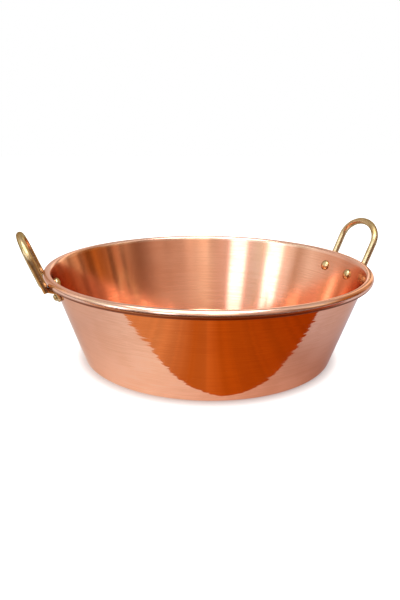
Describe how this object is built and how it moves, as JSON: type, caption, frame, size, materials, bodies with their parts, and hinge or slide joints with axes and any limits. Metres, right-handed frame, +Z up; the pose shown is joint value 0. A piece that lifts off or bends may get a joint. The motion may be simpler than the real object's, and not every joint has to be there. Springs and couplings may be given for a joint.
{
  "type": "copper preserving pan",
  "caption": "Wide open copper preserving pan with a flat base, sloping wall, wired rolled rim and upright brass loop handles riveted on below the rim, for boiling jam and fruit.",
  "frame": {"origin": "centre of the pan's flat underside, on the surface that it stands on", "axes": "+Z up along the pan's axis, +X towards the right-hand handle, so the handles stand on the X axis"},
  "size_m": [0.4514, 0.3998, 0.1614],
  "materials": {
    "copper": "polished spun copper with fine turning lines",
    "brass": "polished brass rod",
    "iron_wire": "drawn wire, hidden in the rim"
  },
  "bodies": {
    "root": {"bowl": "copper", "rim_wire": "iron_wire", "handle_right": "brass", "handle_left": "brass", "rivet_right_back": "brass", "rivet_right_front": "brass", "rivet_left_back": "brass", "rivet_left_front": "brass"}
  },
  "joints": []
}
